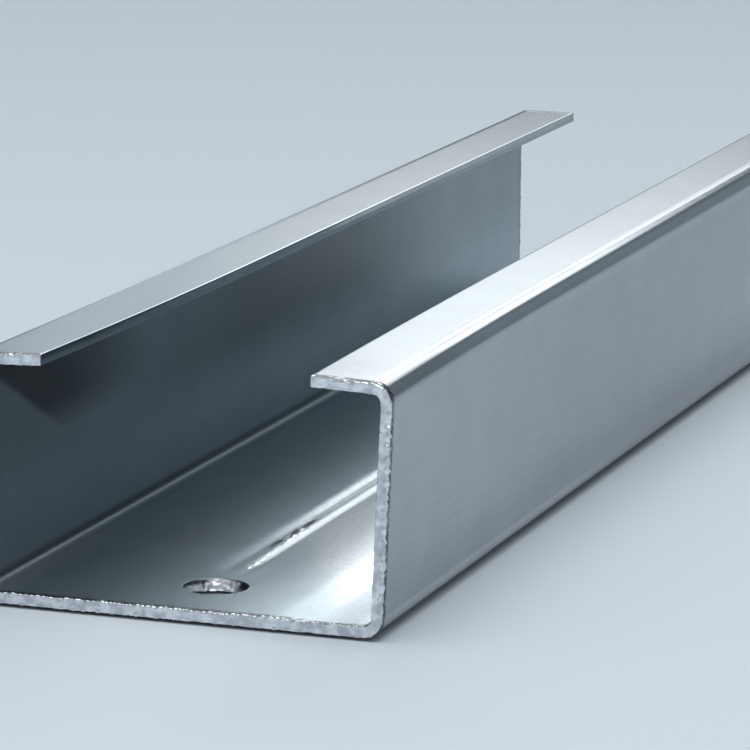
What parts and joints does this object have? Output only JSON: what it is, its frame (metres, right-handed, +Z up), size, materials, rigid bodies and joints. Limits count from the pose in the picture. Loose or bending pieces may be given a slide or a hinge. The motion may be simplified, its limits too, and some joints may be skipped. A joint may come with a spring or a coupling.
{
  "type": "lipped steel channel section",
  "caption": "Cut length of cold-formed galvanised lipped channel, lying on its web with both lips up, a punched hole in the web near one end and a shallow groove along its middle.",
  "frame": {"origin": "middle of the web's underside, at half the length", "axes": "+Y along the length, away from the drilled end; +Z up, from the web to the lips; +X across the web"},
  "size_m": [0.0778, 0.311, 0.0444],
  "materials": {
    "galvanised_steel": "hot-dip galvanised, satin, cool grey, beads of zinc along the cut edges"
  },
  "bodies": {
    "root": {"channel": "galvanised_steel"}
  },
  "joints": []
}
